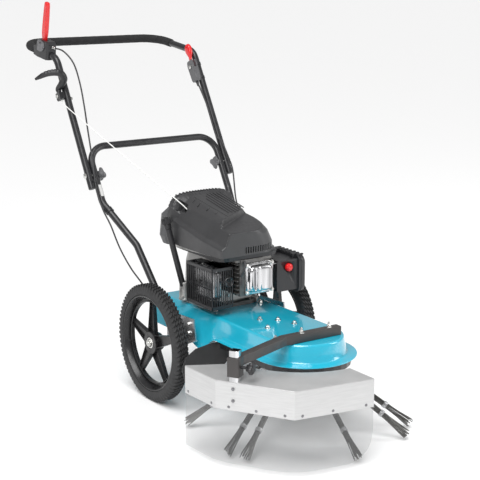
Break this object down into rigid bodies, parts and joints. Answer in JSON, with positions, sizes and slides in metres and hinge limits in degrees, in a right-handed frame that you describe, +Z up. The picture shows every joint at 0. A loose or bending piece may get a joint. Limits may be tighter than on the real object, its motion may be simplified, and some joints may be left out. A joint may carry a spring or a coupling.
{
  "type": "walk-behind weed brush",
  "caption": "Petrol walk-behind weed brush: pressed deck with a wire-rope rotor, side guard with clear skirt, two wheels, engine and folding handle.",
  "frame": {"origin": "on the ground, below the middle of the machine's outline (between the wheels and just behind the axle line)", "axes": "+Z up, -Y to the front where the brush is, +Y to the rear where the operator walks, -X the operator's right; the machine's centre plane is x = 0.0444"},
  "size_m": [0.6373, 1.5547, 1.1633],
  "materials": {
    "blue_paint": "gloss",
    "black_paint": "satin",
    "steel": "zinc plated",
    "chrome": "polished",
    "stainless": "brushed",
    "aluminium": "as cast",
    "shroud_plastic": "fine grain",
    "black_plastic": "matte",
    "red_plastic": "gloss",
    "black_rubber": "matte",
    "tyre_rubber": "matte",
    "clear_sheet": "clear",
    "foam": "soft",
    "rope_white": "braided"
  },
  "bodies": {
    "chassis": {"deck": "blue_paint", "bottom_cover": "black_paint", "rear_flap": "black_rubber", "axle": "steel", "right_axle_plate": "steel", "left_axle_plate": "steel", "lower_handle": "black_paint", "engine_block": "aluminium", "valve_cover": "chrome", "muffler": "aluminium", "muffler_guard": "black_paint", "engine_shroud": "shroud_plastic", "fuel_tank": "black_plastic", "dipstick_tube": "black_plastic", "carburettor": "aluminium", "air_filter_base": "black_plastic", "air_filter_cover": "black_plastic", "drive_belt": "black_rubber", "spindle_housing": "aluminium", "guard_arm": "black_paint", "clutch_cable": "black_rubber", "throttle_cable": "black_rubber", "starter_rope": "rope_white"},
    "upper_handle": {"upper_handle": "black_paint", "foam_grip": "foam", "lever_clamp": "black_plastic", "throttle_housing": "black_plastic", "rope_guide": "black_plastic"},
    "right_wheel": {"right_tyre": "tyre_rubber", "right_rim": "black_plastic"},
    "left_wheel": {"left_tyre": "tyre_rubber", "left_rim": "black_plastic"},
    "rotor": {"rotor_shaft": "steel", "rotor_pulley": "steel", "brush_hub": "black_paint", "wire_bundle_1": "steel", "wire_bundle_2": "steel", "wire_bundle_3": "steel", "wire_bundle_4": "steel", "wire_bundle_5": "steel", "wire_bundle_6": "steel", "wire_bundle_7": "steel", "wire_bundle_8": "steel"},
    "crankshaft": {"crank_pulley": "steel", "flywheel": "aluminium"},
    "recoil_reel": {"recoil_reel": "black_plastic"},
    "idler_arm": {"idler_arm": "steel"},
    "idler_pulley": {"idler_pulley": "steel"},
    "clutch_lever": {"clutch_lever": "red_plastic"},
    "throttle_lever": {"throttle_lever": "red_plastic"},
    "right_handle_knob": {"right_handle_knob": "black_plastic"},
    "left_handle_knob": {"left_handle_knob": "black_plastic"},
    "guard_knob": {"guard_knob": "black_plastic"},
    "guard": {"guard_post": "chrome", "guard_shell": "stainless", "clear_skirt": "clear_sheet"},
    "starter_grip": {"starter_grip": "black_plastic"},
    "primer_bulb": {"primer_bulb": "red_plastic"},
    "fuel_cap": {"fuel_cap": "black_plastic"},
    "dipstick": {"dipstick": "black_plastic"}
  },
  "joints": [
    {"name": "right_wheel_spin", "type": "hinge", "parent": "chassis", "child": "right_wheel", "pos_m": [0.0444, -0.0173, 0.178], "axis": [1, 0, 0], "continuous": true},
    {"name": "left_wheel_spin", "type": "hinge", "parent": "chassis", "child": "left_wheel", "pos_m": [0.0444, -0.0173, 0.178], "axis": [1, 0, 0], "continuous": true},
    {"name": "rotor_spin", "type": "hinge", "parent": "chassis", "child": "rotor", "pos_m": [0.0444, -0.4323, 0.248], "axis": [0, 0, 1], "continuous": true},
    {"name": "crank_spin", "type": "hinge", "parent": "chassis", "child": "crankshaft", "pos_m": [0.0444, -0.0273, 0.248], "axis": [0, 0, 1], "continuous": true},
    {"name": "idler_swing", "type": "hinge", "parent": "chassis", "child": "idler_arm", "pos_m": [0.1324, -0.3073, 0.248], "axis": [0, 0, 1], "range_deg": [0, 4.5]},
    {"name": "idler_pulley_spin", "type": "hinge", "parent": "idler_arm", "child": "idler_pulley", "pos_m": [0.1159, -0.2173, 0.248], "axis": [0, 0, 1], "continuous": true},
    {"name": "handle_fold", "type": "hinge", "parent": "chassis", "child": "upper_handle", "pos_m": [0.0444, 0.3177, 0.637], "axis": [1, 0, 0], "range_deg": [0, 120], "deforming": ["clutch_cable", "throttle_cable", "starter_rope"]},
    {"name": "right_handle_knob_turn", "type": "hinge", "parent": "chassis", "child": "right_handle_knob", "pos_m": [-0.1906, 0.3177, 0.637], "axis": [1, 0, 0], "range_deg": [0, 270]},
    {"name": "left_handle_knob_turn", "type": "hinge", "parent": "chassis", "child": "left_handle_knob", "pos_m": [0.2794, 0.3177, 0.637], "axis": [-1, 0, 0], "range_deg": [0, 270]},
    {"name": "clutch_lever_squeeze", "type": "hinge", "parent": "upper_handle", "child": "clutch_lever", "pos_m": [-0.2131, 0.60026, 1.03473], "axis": [-1, 0, 0], "range_deg": [0, 80], "stiffness_Nm_per_rad": 0.6},
    {"name": "throttle_turn", "type": "hinge", "parent": "upper_handle", "child": "throttle_lever", "pos_m": [0.2814, 0.48857, 0.93901], "axis": [1, 0, 0], "range_deg": [-30, 30]},
    {"name": "guard_height", "type": "slide", "parent": "chassis", "child": "guard", "axis": [0, 0, 1], "range_m": [-0.01, 0.012]},
    {"name": "guard_knob_turn", "type": "hinge", "parent": "chassis", "child": "guard_knob", "pos_m": [-0.27471, -0.58613, 0.279], "axis": [0.5218, -0.8531, 0], "range_deg": [0, 270]},
    {"name": "reel_turn", "type": "hinge", "parent": "chassis", "child": "recoil_reel", "pos_m": [0.0444, -0.0273, 0.521], "axis": [0, 0, 1], "range_deg": [0, 495], "stiffness_Nm_per_rad": 0.05},
    {"name": "starter_pull", "type": "slide", "parent": "upper_handle", "child": "starter_grip", "axis": [-0.5514, 0.4511, 0.7018], "range_m": [0, 0.45]},
    {"name": "primer_press", "type": "slide", "parent": "chassis", "child": "primer_bulb", "axis": [0, 1, 0], "range_m": [0, 0.004], "stiffness_N_per_m": 600},
    {"name": "fuel_cap_turn", "type": "hinge", "parent": "chassis", "child": "fuel_cap", "pos_m": [0.0894, 0.0907, 0.5563], "axis": [0, 0, 1], "range_deg": [0, 270]},
    {"name": "dipstick_pull", "type": "slide", "parent": "chassis", "child": "dipstick", "axis": [-0.1433, 0.2205, 0.9648], "range_m": [0, 0.17]}
  ],
  "couplings": [
    {"joint": "crank_spin", "follows": "rotor_spin", "ratio": 1.6667},
    {"joint": "idler_swing", "follows": "clutch_lever_squeeze", "ratio": 0.05},
    {"joint": "starter_pull", "follows": "reel_turn", "m_per_rad": 0.052}
  ]
}
